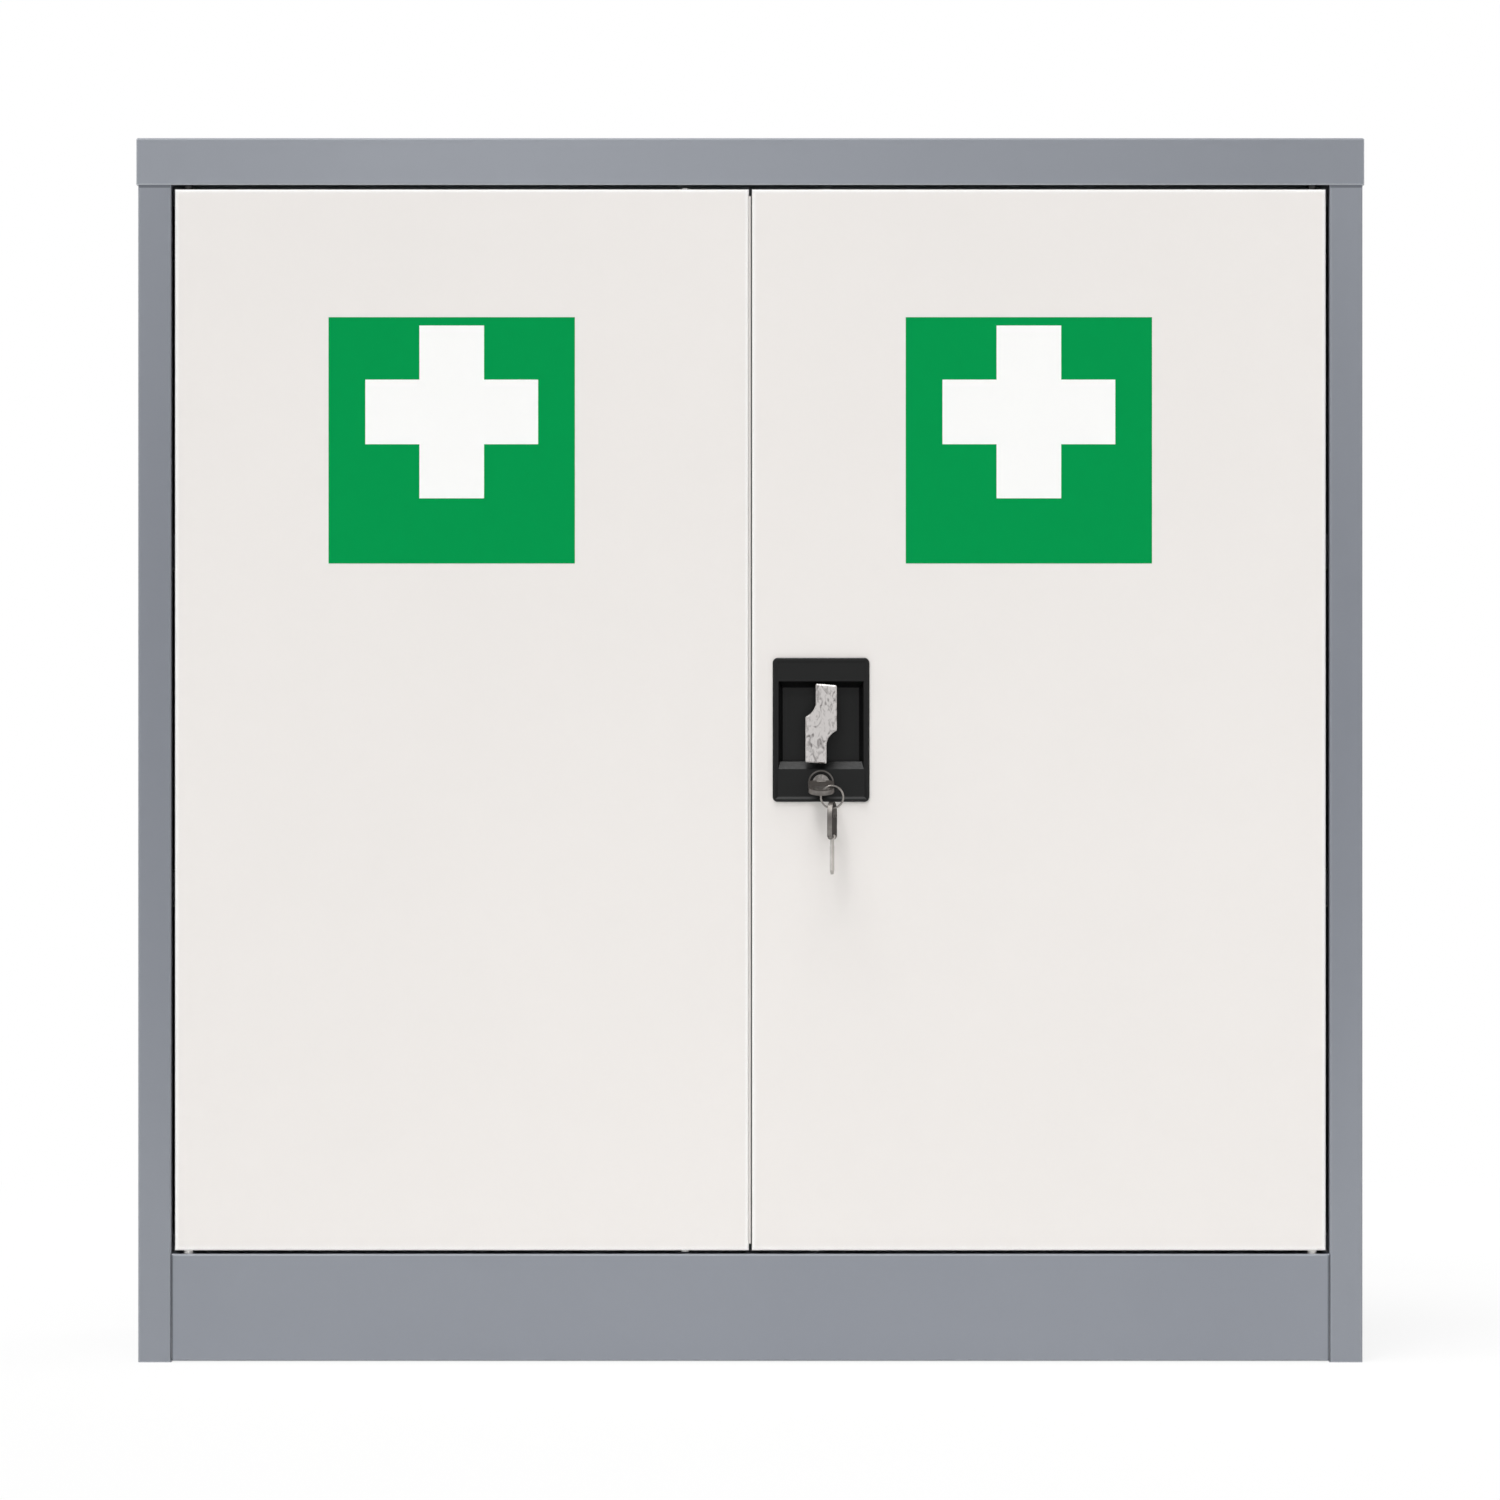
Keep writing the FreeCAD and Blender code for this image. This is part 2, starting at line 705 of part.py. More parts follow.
def turn_handle():
    top = handle_height / 2
    side = handle_width / 2
    waist = handle_waist / 2
    hollow_x = (side + waist) / 2 - handle_hollow * math.sqrt(1 / 2)
    hollow_z = (handle_tip + handle_notch) / 2 - handle_hollow * math.sqrt(1 / 2)
    edges = []
    for way in (1, -1):
        end_left = handle_point(-way * waist, way * top)
        end_right = handle_point(way * side, way * (top - handle_slant))
        tip = handle_point(way * side, -way * handle_tip)
        hollow = handle_point(way * hollow_x, -way * hollow_z)
        waist_start = handle_point(way * waist, -way * handle_notch)
        waist_end = handle_point(way * waist, -way * top)
        edges.append(Part.LineSegment(end_left, end_right).toShape())
        edges.append(Part.LineSegment(end_right, tip).toShape())
        edges.append(Part.Arc(tip, hollow, waist_start).toShape())
        edges.append(Part.LineSegment(waist_start, waist_end).toShape())
    grip = Part.Face(Part.Wire(edges)).extrude(V(0, -handle_thickness, 0))
    corners = [edge for edge in grip.Edges if edge.BoundBox.YLength > handle_thickness / 2]
    grip = grip.makeFillet(handle_round, corners)
    front_edges = [edge for edge in grip.Edges if edge.BoundBox.YMax < handle_back - handle_thickness / 2]
    grip = grip.makeChamfer(handle_bevel, front_edges)
    neck = rod_along_y(neck_radius, lock_offset, handle_z, handle_back, boss_y - neck_gap)
    bore = rod_along_y(spindle_radius + fit, lock_offset, handle_z, handle_back - spindle_bite, boss_y)
    return grip.fuse(neck).removeSplitter().cut(bore)


def handle_spindle():
    return rod_along_y(spindle_radius, lock_offset, handle_z, handle_back - spindle_bite, crank_rear)


def spindle_washer():
    ring = rod_along_y(washer_radius, lock_offset, handle_z, back_plate_rear + washer_gap, crank_y)
    return ring.cut(rod_along_y(spindle_radius + fit, lock_offset, handle_z, pan_back, crank_rear))


def crank_places():
    return [(lock_offset + way * pin_near, handle_z - way * crank_drop) for way in (1, -1)]


def crank_plate():
    disc = rod_along_y(crank_disc_radius, lock_offset, handle_z, crank_y, crank_rear)
    wedge = [(lock_offset, handle_z)]
    for angle in (lug_start_angle, lug_end_angle):
        turn = math.radians(angle)
        wedge.append((lock_offset + lug_radius * math.cos(turn), handle_z + lug_radius * math.sin(turn)))
    bores = [rod_along_y(crank_pin_radius + fit, x, z, pan_back, rod_rear) for x, z in crank_places()]
    bores.append(rod_along_y(spindle_radius + fit, lock_offset, handle_z, pan_back, rod_rear))
    return disc.fuse(outline(wedge, crank_y, crank_rear)).removeSplitter().cut(group(bores))


def crank_pins():
    pins = []
    head_y = rod_rear + layer_gap
    for x, z in crank_places():
        shank = rod_along_y(crank_pin_radius, x, z, crank_y, head_y)
        head = rod_along_y(crank_pin_head_radius, x, z, head_y, head_y + crank_pin_head)
        pins.append(shank.fuse(head).removeSplitter())
    return group(pins)


def rod(way):
    near = lock_offset + way * rod_near
    far = near + way * rod_width
    end = handle_z - way * (crank_drop + rod_tail)
    tip = door_top + bolt_peep if way > 0 else door_bottom - bolt_peep
    shoulder = tip - way * rod_tip_length
    tip_far = near + way * rod_tip_width
    points = [
        (near, end),
        (far, end),
        (far, shoulder - way * rod_taper),
        (tip_far, shoulder),
        (tip_far, tip),
        (near, tip),
    ]
    pin_z = handle_z - way * crank_drop
    slot_half = crank_pin_radius + slot_play
    slot = box(lock_offset + way * (pin_near - slot_half), lock_offset + way * (crank_radius + slot_half),
               rod_y - layer_gap, rod_rear + layer_gap, pin_z - slot_half, pin_z + slot_half)
    return outline(points, rod_y, rod_rear).cut(slot)


def rod_guides():
    guides = []
    for way, door_edge in ((1, door_top), (-1, door_bottom)):
        near = lock_offset + way * rod_near
        far = near + way * rod_width
        level = door_edge - way * guide_setback
        block = box(near - way * guide_wall, far + way * guide_wall, door_inner_y, rod_rear + guide_wall,
                    level, level - way * guide_height)
        channel = box(near - way * guide_clear, far + way * guide_clear, rod_y - guide_clear,
                      rod_rear + guide_clear, door_bottom, door_top)
        guides.append(block.cut(channel))
    return group(guides)


# Keys

def key_plug():
    body = rod_along_y(plug_radius, lock_offset, key_z, plug_face, crank_y)
    tail = rod_along_y(plug_tail_radius, lock_offset, key_z, crank_y, crank_rear)
    half_keyway = blade_width / 2 + running
    half_height = blade_thickness / 2 + running
    keyway = box(lock_offset - half_keyway, lock_offset + half_keyway, plug_face - overrun,
                 plug_face + blade_inset + running, key_z - half_height, key_z + half_height)
    return body.fuse(tail).removeSplitter().cut(keyway)


def lock_tongue():
    root = rod_along_y(tongue_root_radius, lock_offset, key_z, crank_y, crank_rear)
    arm = box(lock_offset - tongue_length, lock_offset, crank_y, crank_rear,
              key_z - tongue_width / 2, key_z + tongue_width / 2)
    bore = rod_along_y(plug_tail_radius + fit, lock_offset, key_z, pan_back, rod_rear)
    return root.fuse(arm).removeSplitter().cut(bore)


# A key lies flat with its hinge at the origin, its bow towards the front and its blade towards the back

def key_blade():
    knuckle = rod_along_x(knuckle_radius, 0, 0, -knuckle_width / 2, knuckle_width / 2)
    half = blade_width / 2
    neck = knuckle_width / 2
    end = blade_length - knuckle_radius
    points = [
        V(-neck, 0, 0),
        V(-neck, knuckle_radius + blade_stand / 2, 0),
        V(-half, knuckle_radius + blade_stand / 2, 0),
        V(-half, end - blade_point, 0),
        V(-half + blade_point, end, 0),
        V(half - blade_point, end, 0),
        V(half, end - blade_point, 0),
        V(half, knuckle_radius + blade_stand / 2, 0),
        V(neck, knuckle_radius + blade_stand / 2, 0),
        V(neck, 0, 0),
    ]
    plate = Part.Face(Part.makePolygon(points + points[:1])).extrude(V(0, 0, blade_thickness))
    plate.translate(V(0, 0, -blade_thickness / 2))
    hole = rod_along_x(knuckle_pin_radius + running, 0, 0, -half, half)
    return plate.fuse(knuckle).removeSplitter().cut(hole)


def key_bow():
    half = bow_width / 2
    low = -bow_thickness / 2
    plate = box(-half, half, -bow_length, 0, low, -low)
    corners = [edge for edge in plate.Edges
               if edge.BoundBox.ZLength > bow_thickness / 2 and edge.BoundBox.YMax < -bow_length / 2]
    plate = plate.makeFillet(bow_corner, corners)
    ears = []
    for way in (-1, 1):
        ear_x = way * (knuckle_width / 2 + knuckle_gap + ear_width / 2)
        ears.append(rod_along_x(knuckle_radius, 0, 0, ear_x - ear_width / 2, ear_x + ear_width / 2))
    notch_x = knuckle_width / 2 + knuckle_gap
    notch_y = knuckle_radius + knuckle_gap
    notch = box(-notch_x, notch_x, -notch_y, notch_y, low - overrun, overrun - low)
    hole_half = half - bow_rim
    hole = box(-hole_half, hole_half, -bow_length + bow_front_rim,
               -bow_length + bow_front_rim + bow_hole_length, low - overrun, overrun - low)
    hole_corners = [edge for edge in hole.Edges if edge.BoundBox.ZLength > overrun]
    hole = hole.makeFillet(bow_hole_corner, hole_corners)
    pin_hole = rod_along_x(knuckle_pin_radius + fit, 0, 0, -half, half)
    return plate.fuse(ears).removeSplitter().cut(group([notch, hole, pin_hole]))


def key_pin():
    half = knuckle_width / 2 + knuckle_gap + ear_width
    return rod_along_x(knuckle_pin_radius, 0, 0, -half, half)


def inserted(shape, angle):
    placed = shape.copy()
    placed.rotate(ORIGIN, X_AXIS, angle)
    placed.translate(V(lock_offset, hinge_y, key_z))
    return placed


def hanging(shape):
    placed = shape.copy()
    placed.rotate(ORIGIN, X_AXIS, -90)
    placed.rotate(ORIGIN, Z_AXIS, spare_turn_angle)
    placed.translate(V(rim_x, ring_y, spare_hinge_z))
    return placed


# The wire of the ring is six-sided, which keeps its faces few
def key_ring():
    turns = [math.radians(60 * index) for index in range(6)]
    corners = [V(rim_x + ring_radius + ring_wire_radius * math.cos(turn),
                 ring_y + ring_wire_radius * math.sin(turn), ring_z) for turn in turns]
    section = Part.Face(Part.makePolygon(corners + corners[:1]))
    return section.revolve(V(rim_x, ring_y, ring_z), Y_AXIS, 360)


nodes = {
    "left_side_panel": mirrored(side_panel()),
    "right_side_panel": side_panel(),
    "back_panel": back_panel(),
    "top_panel": top_panel(),
    "base_panel": base_panel(),
    "front_left_upright": mirrored(upright(upright_places[0])),
    "front_right_upright": upright(upright_places[0]),
    "rear_left_upright": mirrored(upright(upright_places[1])),
    "rear_right_upright": upright(upright_places[1]),
    "lower_shelf": shelf(lower_slot),
    "upper_shelf": shelf(upper_slot),
    "shelf_clips": shelf_clips(),
    "pivot_bushes": pivot_bushes(),
    "door_buffers": door_buffers(),
    "left_door_panel": left_door_panel(),
    "left_door_stiffener": mirrored(door_stiffener()),
    "left_meeting_strip": left_meeting_strip(),
    "left_pivot_pins": mirrored(pivot_pins()),
    "left_pivot_brackets": mirrored(pivot_brackets()),
    "left_bolt_guides": left_bolt_guides(),
    "upper_bolt": bolt(1),
    "lower_bolt": bolt(-1),
    "right_door_panel": right_door_panel(),
    "right_door_stiffener": door_stiffener(),
    "right_pivot_pins": pivot_pins(),
    "right_pivot_brackets": pivot_brackets(),
    "lock_plate": lock_plate(),
    "lock_back_plate": lock_back_plate(),
    "lock_barrel": lock_barrel(),
    "barrel_nut": barrel_nut(),
    "rod_guides": rod_guides(),
    "turn_handle": turn_handle(),
    "handle_spindle": handle_spindle(),
    "spindle_washer": spindle_washer(),
    "crank_plate": crank_plate(),
    "crank_pins": crank_pins(),
    "upper_rod": rod(1),
    "lower_rod": rod(-1),
    "key_plug": key_plug(),
    "lock_tongue": lock_tongue(),
    "key_blade": inserted(key_blade(), 0),
    "key_bow": inserted(key_bow(), bow_droop_angle),
    "key_bow_pin": inserted(key_pin(), bow_droop_angle),
    "key_ring": key_ring(),
    "spare_key_bow": hanging(key_bow()),
    "spare_key_pin": hanging(key_pin()),
    "spare_key_blade": hanging(key_blade()),
}

os.makedirs("parts", exist_ok=True)
for name, shape in nodes.items():
    shape.exportStep("parts/" + name + ".step")
print(len(nodes), "nodes")
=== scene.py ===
import math

import bmesh
import bpy
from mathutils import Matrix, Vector


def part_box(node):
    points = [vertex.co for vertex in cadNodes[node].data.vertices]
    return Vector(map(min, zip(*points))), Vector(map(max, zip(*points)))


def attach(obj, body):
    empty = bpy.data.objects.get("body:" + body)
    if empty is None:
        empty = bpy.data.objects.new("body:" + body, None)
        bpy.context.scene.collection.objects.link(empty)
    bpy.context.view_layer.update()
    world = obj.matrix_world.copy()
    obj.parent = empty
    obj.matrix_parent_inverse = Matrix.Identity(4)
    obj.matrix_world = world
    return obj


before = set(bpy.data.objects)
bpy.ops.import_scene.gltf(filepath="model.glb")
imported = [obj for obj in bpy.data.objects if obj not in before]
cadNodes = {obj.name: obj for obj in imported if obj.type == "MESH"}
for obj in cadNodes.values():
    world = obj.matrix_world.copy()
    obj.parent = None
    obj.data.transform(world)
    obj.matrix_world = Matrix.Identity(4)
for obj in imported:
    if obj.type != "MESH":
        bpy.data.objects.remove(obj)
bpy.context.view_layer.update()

mmPerMetre = 1000
mm = 1 / mmPerMetre
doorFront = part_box("left_door_panel")[0].y
print("frame loaded with", len(cadNodes), "nodes")

# near the refractive index of polyester, ABS, nylon, PVC and rubber
resinIor = 1.5
# where most values of a noise pattern lie
noiseSpan = (0.3, 0.7)
# cosine between the rounded and the true normal, on a flat face and on an edge that gets wear and a painted
# highlight
bevel = {"samples": 4, "flatCosine": 1.0, "edgeCosine": 0.8}
# a Mix node's sockets go by number, because those for colours and for numbers share their names
colourA, colourB, mixedColour = 6, 7, 2
numberA, numberB, mixedNumber = 2, 3, 0


# sRGB hex to the linear values that the shaders take
def linear(hexCode):
    channels = [int(hexCode[start:start + 2], 16) / 255 for start in (1, 3, 5)]
    return [c / 12.92 if c <= 0.04045 else ((c + 0.055) / 1.055) ** 2.4 for c in channels] + [1.0]


def addNode(tree, kind, settings=None, inputs=None, links=None):
    node = tree.nodes.new("ShaderNode" + kind)
    for name, value in (settings or {}).items():
        setattr(node, name, value)
    for name, value in (inputs or {}).items():
        node.inputs[name].default_value = value
    for name, source in (links or {}).items():
        tree.links.new(source, node.inputs[name])
    return node


# an empty material: its tree, its surface shader and the object coordinates, in metres
def newMaterial(name, sockets):
    material = bpy.data.materials.new(name)
    material.use_nodes = True
    tree = material.node_tree
    surface = tree.nodes["Principled BSDF"]
    for socket, value in sockets.items():
        surface.inputs[socket].default_value = value
    place = addNode(tree, "TexCoord").outputs["Object"]
    return material, tree, surface, place


# 1 on an edge, fading to 0 at the given distance from it: where a hand rubs, where a coat runs thin, and
# where a painted highlight lies
def edgeWearAndHighlight(tree, reachMm):
    soft = addNode(tree, "Bevel", {"samples": bevel["samples"]}, {"Radius": reachMm * mm})
    true = addNode(tree, "NewGeometry")
    along = addNode(tree, "VectorMath", {"operation": "DOT_PRODUCT"}, {},
                    {0: soft.outputs[0], 1: true.outputs["Normal"]})
    wearAndHighlight = addNode(tree, "MapRange", {}, {"From Min": bevel["flatCosine"], "From Max": bevel["edgeCosine"]},
                   {"Value": along.outputs["Value"]})
    return wearAndHighlight.outputs[0]


# one material on each of these CAD nodes
def finish(material, *names):
    for name in names:
        slots = cadNodes[name].data.materials
        slots.clear()
        slots.append(material)


# Camera: straight on, far off with a long lens, framed as the photograph is
shot = {"pixels": 1500, "mmPerPixel": 0.735, "middleX": -0.26, "middleZ": 450.1, "distance": 6.0,
        "sensorMm": 36}
lens = bpy.data.cameras.new("camera")
lens.sensor_width = shot["sensorMm"]
lens.lens = lens.sensor_width * shot["distance"] / (shot["pixels"] * shot["mmPerPixel"] * mm)
camera = bpy.data.objects.new("camera", lens)
camera.location = (shot["middleX"] * mm, doorFront - shot["distance"], shot["middleZ"] * mm)
camera.rotation_euler = (math.pi / 2, 0, 0)
bpy.context.scene.collection.objects.link(camera)
bpy.context.scene.camera = camera
print("camera set")


# Polyester powder baked on steel sheet: low gloss, a fine orange peel and hardly any change of colour
frameCoat = {"colour": "#8E929A", "cloud": "#868A93", "edge": "#BCBFC4", "joint": "#5F636B",
             "roughness": (0.36, 0.46), "cloudMm": 260, "cloudDetail": 3.0, "edgeMm": 1.6,
             "peelMm": 2.6, "peelDetail": 2.0, "peelDepthMm": 0.035, "peelStrength": 0.6}
# the top panel is coated a shade paler and the side panels a shade darker than the rest.
# On each a painted shade drifts away from one spot: the apron paler at its left, the stiles darker halfway up
topCoat = dict(frameCoat, colour="#9A9EA6", cloud="#90949C", far="#868A92",
               shadeFromMm=(-215, -180, 880), shadeReachMm=(40, 600))
sideCoat = dict(frameCoat, colour="#81858D", cloud="#7B7F88", far="#8A8E96",
                shadeFromMm=(0, -180, 520), shadeReachMm=(440, 600))
doorCoat = {"colour": "#EFEBE8", "cloud": "#EBE7E4", "edge": "#FFFFFF",
            "roughness": (0.34, 0.42), "cloudMm": 300, "cloudDetail": 3.0, "edgeMm": 4.0,
            "peelMm": 2.6, "peelDetail": 2.0, "peelDepthMm": 0.03, "peelStrength": 0.6}
# joints between sheets on the front, under the apron and beside the plinth, drawn as a painted shade line
shadedJointLines = {"apronZ": 864.5, "plinthX": 425.4, "plinthTop": 79.7, "half": 1.1, "frontDepth": 0.4}


# 1 in those joints, 0 elsewhere
def inShadedJoints(tree, place):
    axes = addNode(tree, "SeparateXYZ", {}, {}, {0: place}).outputs
    half = shadedJointLines["half"] * mm
    fromMiddle = addNode(tree, "Math", {"operation": "ABSOLUTE"}, {}, {0: axes["X"]})
    onEnd = addNode(tree, "Math", {"operation": "COMPARE"}, {1: shadedJointLines["plinthX"] * mm, 2: half},
                    {0: fromMiddle.outputs[0]})
    low = addNode(tree, "Math", {"operation": "LESS_THAN"}, {1: shadedJointLines["plinthTop"] * mm}, {0: axes["Z"]})
    besidePlinth = addNode(tree, "Math", {"operation": "MULTIPLY"}, {},
                           {0: onEnd.outputs[0], 1: low.outputs[0]})
    underApron = addNode(tree, "Math", {"operation": "COMPARE"}, {1: shadedJointLines["apronZ"] * mm, 2: half},
                         {0: axes["Z"]})
    either = addNode(tree, "Math", {"operation": "MAXIMUM"}, {},
                     {0: besidePlinth.outputs[0], 1: underApron.outputs[0]})
    onFront = addNode(tree, "Math", {"operation": "LESS_THAN"},
                      {1: doorFront + shadedJointLines["frontDepth"] * mm}, {0: axes["Y"]})
    shown = addNode(tree, "Math", {"operation": "MULTIPLY"}, {},
                    {0: either.outputs[0], 1: onFront.outputs[0]})
    return shown.outputs[0]


def powderCoat(name, look):
    material, tree, surface, place = newMaterial(name, {"IOR": resinIor})
    cloud = addNode(tree, "TexNoise", {},
                    {"Scale": mmPerMetre / look["cloudMm"], "Detail": look["cloudDetail"]},
                    {"Vector": place})
    flat = addNode(tree, "Mix", {"data_type": "RGBA"},
                   {colourA: linear(look["colour"]), colourB: linear(look["cloud"])}, {0: cloud.outputs[0]})
    # painted shade: the colour drifts towards the far one with distance from a spot
    if "far" in look:
        away = addNode(tree, "VectorMath", {"operation": "DISTANCE"}, {1: Vector(look["shadeFromMm"]) * mm},
                       {0: place})
        paintedShade = addNode(tree, "MapRange", {},
                       {"From Min": look["shadeReachMm"][0] * mm, "From Max": look["shadeReachMm"][1] * mm},
                       {"Value": away.outputs["Value"]})
        flat = addNode(tree, "Mix", {"data_type": "RGBA"}, {colourB: linear(look["far"])},
                       {0: paintedShade.outputs[0], colourA: flat.outputs[mixedColour]})
    # the powder draws back from a bend and looks paler there; the pale edge, widest and white on the doors,
    # is also a painted highlight
    tint = addNode(tree, "Mix", {"data_type": "RGBA"}, {colourB: linear(look["edge"])},
                   {0: edgeWearAndHighlight(tree, look["edgeMm"]), colourA: flat.outputs[mixedColour]})
    # painted shade: a dark line along the joints on the front
    if "joint" in look:
        tint = addNode(tree, "Mix", {"data_type": "RGBA"}, {colourB: linear(look["joint"])},
                       {0: inShadedJoints(tree, place), colourA: tint.outputs[mixedColour]})
    # real peel is about 1 mm, drawn coarser so that it shows
    peel = addNode(tree, "TexNoise", {}, {"Scale": mmPerMetre / look["peelMm"], "Detail": look["peelDetail"]},
                   {"Vector": place})
    gloss = addNode(tree, "MapRange", {}, {"From Min": noiseSpan[0], "From Max": noiseSpan[1],
                                           "To Min": look["roughness"][0], "To Max": look["roughness"][1]},
                    {"Value": peel.outputs[0]})
    bump = addNode(tree, "Bump", {}, {"Strength": look["peelStrength"], "Distance": look["peelDepthMm"] * mm},
                   {"Height": peel.outputs[0]})
    tree.links.new(tint.outputs[mixedColour], surface.inputs["Base Color"])
    tree.links.new(gloss.outputs[0], surface.inputs["Roughness"])
    tree.links.new(bump.outputs[0], surface.inputs["Normal"])
    return material


finish(powderCoat("greyPowderCoat", frameCoat), "back_panel", "base_panel", "lower_shelf", "upper_shelf",
       "front_left_upright", "front_right_upright", "rear_left_upright", "rear_right_upright")
finish(powderCoat("paleGreyPowderCoat", topCoat), "top_panel")
finish(powderCoat("darkGreyPowderCoat", sideCoat), "left_side_panel", "right_side_panel")
finish(powderCoat("whitePowderCoat", doorCoat), "left_door_panel", "right_door_panel", "left_door_stiffener",
       "right_door_stiffener")
print("powder coat on the carcass and doors")


# Zinc plate on punched or drawn steel: a cool metal with faint cloudy grains, a soft shine and bright edges,
# partly rubbed and partly a painted highlight. Lock cams are often passivated yellow, and drawn rods show
# fine lines along their length
brightZinc = {"colour": "#C4C4BF", "grain": "#A9ABAB", "edge": "#E4E4E0", "grainMm": 5.0,
              "stretch": (1, 1, 1), "roughness": (0.26, 0.42), "edgeMm": 0.5}
yellowZinc = dict(brightZinc, colour="#BFAE7C", grain="#A58F5C", edge="#DCD0A8", grainMm=4.0)
drawnZinc = dict(brightZinc, colour="#CFCFCC", grain="#9B9D9F", grainMm=1.2, stretch=(1, 1, 0.02),
                 roughness=(0.2, 0.36))


def zincPlate(name, look):
    material, tree, surface, place = newMaterial(name, {"Metallic": 1.0})
    along = addNode(tree, "Mapping", {}, {"Scale": look["stretch"]}, {"Vector": place})
    grain = addNode(tree, "TexVoronoi", {}, {"Scale": mmPerMetre / look["grainMm"]},
                    {"Vector": along.outputs[0]})
    shade = addNode(tree, "RGBToBW", {}, {}, {0: grain.outputs["Color"]})
    body = addNode(tree, "Mix", {"data_type": "RGBA"},
                   {colourA: linear(look["colour"]), colourB: linear(look["grain"])}, {0: shade.outputs[0]})
    # bright edges: rubbing wear and a painted highlight
    tint = addNode(tree, "Mix", {"data_type": "RGBA"}, {colourB: linear(look["edge"])},
                   {0: edgeWearAndHighlight(tree, look["edgeMm"]), colourA: body.outputs[mixedColour]})
    gloss = addNode(tree, "MapRange", {}, {"To Min": look["roughness"][0], "To Max": look["roughness"][1]},
                    {"Value": shade.outputs[0]})
    tree.links.new(tint.outputs[mixedColour], surface.inputs["Base Color"])
    tree.links.new(gloss.outputs[0], surface.inputs["Roughness"])
    return material


zinc = zincPlate("brightZincPlate", brightZinc)
finish(zinc, "shelf_clips", "left_pivot_brackets", "right_pivot_brackets", "lock_back_plate",
       "spindle_washer")
finish(zincPlate("yellowZincPlate", yellowZinc), "crank_plate", "lock_tongue", "barrel_nut")
finish(zincPlate("drawnZincPlate", drawnZinc), "left_pivot_pins", "right_pivot_pins", "upper_bolt",
       "lower_bolt", "handle_spindle", "crank_pins", "upper_rod", "lower_rod")


# Chromed zinc casting: bright, with shallow wrinkles left under the plate. The darker wrinkles in the colour
# are a painted reflection, and the paler edges a painted highlight. The wrinkles are stretched along the
# grip, as the metal ran in the mould, and their lean is in degrees
castLook = {"high": "#CAC6C4", "low": "#7C7877", "edge": "#E4E1DF", "edgeMm": 1.1, "roughness": 0.32,
            "wrinkleMm": 3.6, "detail": 3.0, "distortion": 1.2, "lean": 28, "stretch": (1.0, 1.0, 0.55),
            "span": (0.3, 0.52), "depthMm": 0.35, "strength": 0.7}


def castChrome(name, look):
    material, tree, surface, place = newMaterial(name, {"Metallic": 1.0, "Roughness": look["roughness"]})
    run = addNode(tree, "Mapping", {},
                  {"Rotation": (0, math.radians(look["lean"]), 0), "Scale": look["stretch"]},
                  {"Vector": place})
    wrinkle = addNode(tree, "TexNoise", {},
                      {"Scale": mmPerMetre / look["wrinkleMm"], "Detail": look["detail"],
                       "Distortion": look["distortion"]}, {"Vector": run.outputs[0]})
    paintedReflectionRamp = addNode(tree, "MapRange", {}, {"From Min": look["span"][0], "From Max": look["span"][1]},
                   {"Value": wrinkle.outputs[0]})
    # painted reflection: the colour goes darker in the wrinkles
    body = addNode(tree, "Mix", {"data_type": "RGBA"},
                   {colourA: linear(look["low"]), colourB: linear(look["high"])}, {0: paintedReflectionRamp.outputs[0]})
    # painted highlight on the edges
    tint = addNode(tree, "Mix", {"data_type": "RGBA"}, {colourB: linear(look["edge"])},
                   {0: edgeWearAndHighlight(tree, look["edgeMm"]), colourA: body.outputs[mixedColour]})
    bump = addNode(tree, "Bump", {}, {"Strength": look["strength"], "Distance": look["depthMm"] * mm},
                   {"Height": wrinkle.outputs[0]})
    tree.links.new(tint.outputs[mixedColour], surface.inputs["Base Color"])
    tree.links.new(bump.outputs[0], surface.inputs["Normal"])
    return material


finish(castChrome("chromedCasting", castLook), "turn_handle")


# Nickel plate on turned and stamped steel, handled often: grey shine with fine scratches across it. The faces
# between bright rims are drawn dark and dull: a painted dark reflection on the flats of the key bows, and a
# painted shade on the face of the barrel
nickelLook = {"colour": "#9D9995", "worn": "#807C78", "roughness": (0.3, 0.45),
              "patchMm": 7.0, "patchDetail": 4.0, "patchSpan": (0.35, 0.65),
              "scratchMm": 0.5, "scratchDetail": 2.0, "scratchStretch": (1.0, 0.12, 0.4),
              "paintedDark": "#3A3633", "paintedDarkRoughness": 0.75, "paintedDarkSpecular": 0.15}
# the bows are drawn a shade darker than the plate, painted shade that tones down their highlights
bowLook = dict(nickelLook, colour="#8A8682", worn="#6C6865", roughness=(0.44, 0.56), flatCosines=(0.9, 0.98))
# lit and shaded copies of one plate: the spare blade paler, a painted light, and the blade in the lock
# darker, a painted shade
litBladeLook = dict(nickelLook, colour="#C8C4C0", worn="#ACA8A4", roughness=(0.42, 0.54))
shadedBladeLook = dict(nickelLook, colour="#7E7A76", worn="#66625F", roughness=(0.6, 0.7))
plugLook = dict(nickelLook, colour="#A5A19E", worn="#7A7673", patchMm=2.4, roughness=(0.45, 0.6))
# the barrel is a darker copy of the plate, and its face inside the collar is painted shade
shadedBarrelLook = dict(nickelLook, colour="#6A6765", worn="#55524F", paintedDark="#1B1A1A", faceMm=8.35)


